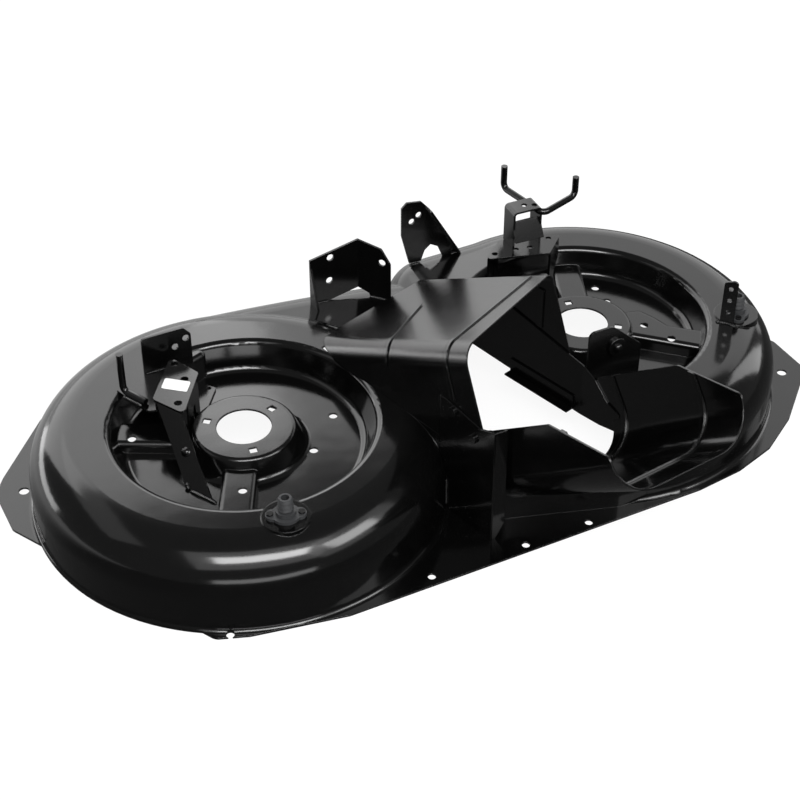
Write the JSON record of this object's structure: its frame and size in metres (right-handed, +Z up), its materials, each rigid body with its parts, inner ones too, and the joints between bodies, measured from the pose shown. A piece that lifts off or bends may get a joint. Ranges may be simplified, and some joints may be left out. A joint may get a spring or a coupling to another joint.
{
  "type": "lawn mower deck",
  "caption": "Pressed steel mower deck with twin round blade pans, dished hubs, a rising rear discharge tunnel and trough, flanged rim, and welded hanger, idler and belt guide brackets.",
  "frame": {"origin": "on the floor under the rim, at the middle of the part's width and depth", "axes": "+X along the line through the two spindles, towards the right hub seen from the outlet; +Y to the front, away from the outlet trough; +Z up"},
  "size_m": [1.074, 0.692, 0.2541],
  "materials": {
    "black_paint": "gloss black paint",
    "rod_paint": "gloss black paint on round rod",
    "nozzle_plastic": "matte dark grey",
    "hardware": "black paint over fasteners"
  },
  "bodies": {
    "root": {"deck_shell": "black_paint", "tunnel_hood": "black_paint", "tunnel_baffle": "black_paint", "baffle_strip": "black_paint", "outlet_gusset": "black_paint", "outlet_trough": "black_paint", "idler_bracket": "black_paint", "idler_base": "black_paint", "idler_brace": "black_paint", "left_hanger_plate": "black_paint", "front_angle_hanger": "black_paint", "front_hanger_tab": "black_paint", "tower_base": "black_paint", "tower_cap": "black_paint", "lift_plate": "black_paint", "right_hanger_tab": "black_paint", "left_belt_keeper": "rod_paint", "tower_belt_keeper": "rod_paint", "left_wash_nozzle": "nozzle_plastic", "right_wash_nozzle": "nozzle_plastic", "lift_nut": "hardware", "nozzle_rivets": "hardware", "gusset_bolts": "hardware"}
  },
  "joints": []
}
